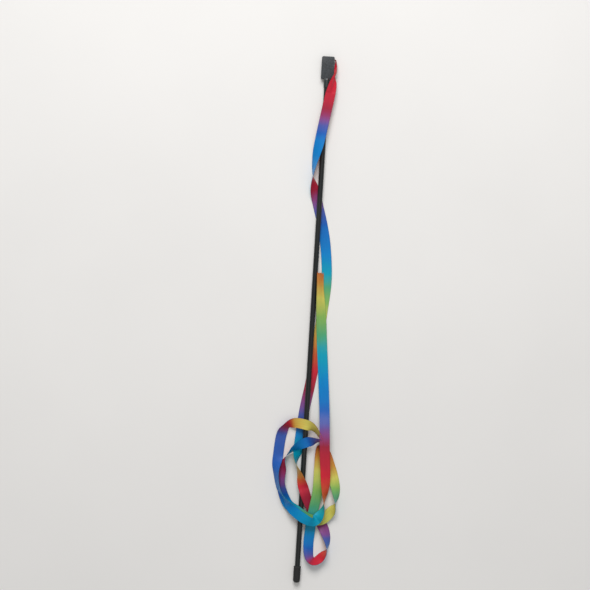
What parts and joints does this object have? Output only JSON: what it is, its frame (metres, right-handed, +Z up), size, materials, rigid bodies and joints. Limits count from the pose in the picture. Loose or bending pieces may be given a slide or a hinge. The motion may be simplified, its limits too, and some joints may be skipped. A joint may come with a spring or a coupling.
{
  "type": "ribbon wand",
  "caption": "Slim black wand with a rubber butt cap and a swivelling flat head that holds a long narrow rainbow satin ribbon, lying with the ribbon looped over it.",
  "frame": {"origin": "on the surface under the middle of the wand, ribbon left out", "axes": "+Y along the wand towards its swivelling head, +X to the right, +Z up from the surface it lies on"},
  "size_m": [0.0677, 0.516, 0.0135],
  "materials": {
    "rod_satin_black": "satin",
    "cap_rubber": "matt",
    "neck_plastic": "satin",
    "pin_steel": "bright",
    "head_plastic": "satin, faint vertical sheen",
    "ribbon_satin": "satin weave, lengthwise rainbow dye",
    "stitch_thread": "matt thread"
  },
  "bodies": {
    "wand": {"rod": "rod_satin_black", "end_cap": "cap_rubber", "neck_sleeve": "neck_plastic", "swivel_pin": "pin_steel", "swivel_washer": "pin_steel", "ribbon": "ribbon_satin"},
    "head": {"head_back_shell": "head_plastic", "head_front_shell": "head_plastic", "ribbon_tail": "ribbon_satin", "tail_stitches": "stitch_thread"}
  },
  "joints": [
    {"name": "head_swivel", "type": "hinge", "parent": "wand", "child": "head", "pos_m": [0, 0.2373, 0.0036], "axis": [0, 1, 0], "continuous": true, "deforming": ["ribbon"]}
  ]
}
